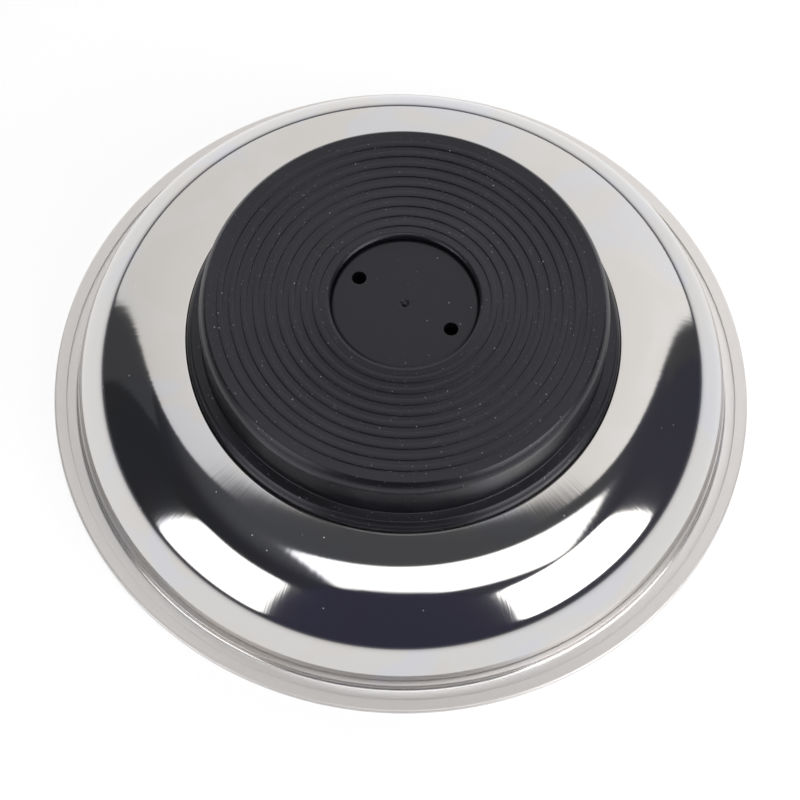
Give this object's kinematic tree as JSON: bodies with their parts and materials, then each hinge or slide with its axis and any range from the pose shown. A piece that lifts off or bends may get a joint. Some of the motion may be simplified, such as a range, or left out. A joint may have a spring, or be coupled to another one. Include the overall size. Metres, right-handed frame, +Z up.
{
  "type": "magnetic parts tray",
  "caption": "Round pressed steel dish with a folded rim, on a ring magnet in a ribbed rubber boot, for keeping screws and small steel parts in one place.",
  "frame": {"origin": "middle of the boot's ribbed face, at the rib tops, on the surface that the tray stands on", "axes": "+Z up along the tray's axis, out of the dish's mouth; the two spanner holes in the plug lie on X"},
  "size_m": [0.15, 0.15, 0.0379],
  "materials": {
    "polished_stainless": "pressed and polished stainless sheet with fine hairlines, duller on the folded edge",
    "black_rubber": "matte moulded rubber",
    "black_plastic": "satin moulded plastic",
    "ferrite": "ground sintered ferrite",
    "plated_steel": "bright zinc-plated steel",
    "brass": "turned brass"
  },
  "bodies": {
    "root": {"dish": "polished_stainless", "boot": "black_rubber", "hub_plug": "black_plastic", "ring_magnet": "ferrite", "centre_screw": "plated_steel", "lock_washer": "plated_steel", "flat_washer": "plated_steel", "threaded_insert": "brass"}
  },
  "joints": []
}
